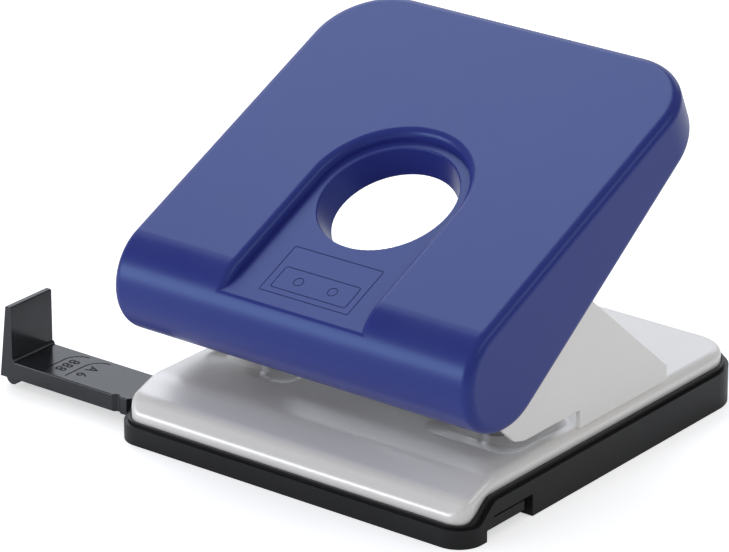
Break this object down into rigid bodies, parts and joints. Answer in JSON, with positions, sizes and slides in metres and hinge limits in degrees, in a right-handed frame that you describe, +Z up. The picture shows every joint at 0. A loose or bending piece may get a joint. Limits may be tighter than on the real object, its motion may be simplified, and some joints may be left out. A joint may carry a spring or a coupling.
{
  "type": "two-hole paper punch",
  "caption": "Desk paper punch: a hinged wedge handle drives punches through a bridge on a pressed steel base, with a sliding paper guide and a tray underneath for the chips.",
  "frame": {"origin": "centre of the tray's flat underside, on which the punch stands", "axes": "+Z up, +Y from the paper side to the back where the handle is raised, +X to the right as seen from the paper side"},
  "size_m": [0.1774, 0.138, 0.1069],
  "materials": {
    "cover_plastic": "satin blue moulded plastic",
    "tray_plastic": "satin black moulded plastic",
    "rail_plastic": "smooth black moulded plastic",
    "base_steel": "silver-grey satin finish on pressed steel",
    "zinc_steel": "bright zinc plate",
    "hard_steel": "ground hardened steel",
    "spring_steel": "oiled spring wire",
    "bush_plastic": "natural acetal",
    "channel_plastic": "black moulded plastic"
  },
  "bodies": {
    "base": {"base_plate": "base_steel", "cheek_left": "base_steel", "cheek_right": "base_steel", "punch_bridge": "zinc_steel", "bridge_rivets": "zinc_steel", "guide_bush_left": "zinc_steel", "guide_bush_right": "zinc_steel", "die_ring_left": "hard_steel", "die_ring_right": "hard_steel", "pivot_axle": "zinc_steel", "axle_clips": "spring_steel", "stop_rod": "zinc_steel", "guide_channel": "channel_plastic", "channel_screws": "zinc_steel", "detent_spring": "spring_steel", "return_spring_left": "spring_steel", "return_spring_right": "spring_steel"},
    "handle": {"handle_cover": "cover_plastic", "lever_frame": "zinc_steel", "press_bar": "hard_steel", "cover_screws": "zinc_steel", "lever_bush_left": "bush_plastic", "lever_bush_right": "bush_plastic"},
    "punch_left": {"punch_pin_left": "hard_steel", "punch_head_left": "zinc_steel"},
    "punch_right": {"punch_pin_right": "hard_steel", "punch_head_right": "zinc_steel"},
    "paper_guide": {"guide_rail": "rail_plastic"},
    "tray": {"chip_tray": "tray_plastic"}
  },
  "joints": [
    {"name": "handle_hinge", "type": "hinge", "parent": "base", "child": "handle", "pos_m": [0, -0.0515, 0.0468], "axis": [-1, 0, 0], "range_deg": [0, 22], "stiffness_Nm_per_rad": 0.5, "springref_deg": -20.05},
    {"name": "punch_slide_left", "type": "slide", "parent": "base", "child": "punch_left", "axis": [0, 0, -1], "range_m": [0, 0.0111], "deforming": ["return_spring_left"]},
    {"name": "punch_slide_right", "type": "slide", "parent": "base", "child": "punch_right", "axis": [0, 0, -1], "range_m": [0, 0.0111], "deforming": ["return_spring_right"]},
    {"name": "paper_guide_slide", "type": "slide", "parent": "base", "child": "paper_guide", "axis": [1, 0, 0], "range_m": [-0.039, 0.041]},
    {"name": "tray_hinge", "type": "hinge", "parent": "base", "child": "tray", "pos_m": [0, 0.067, 0.0126], "axis": [1, 0, 0], "range_deg": [0, 45]}
  ],
  "couplings": [
    {"joint": "punch_slide_left", "follows": "handle_hinge", "m_per_rad": 0.02883},
    {"joint": "punch_slide_right", "follows": "handle_hinge", "m_per_rad": 0.02883}
  ]
}
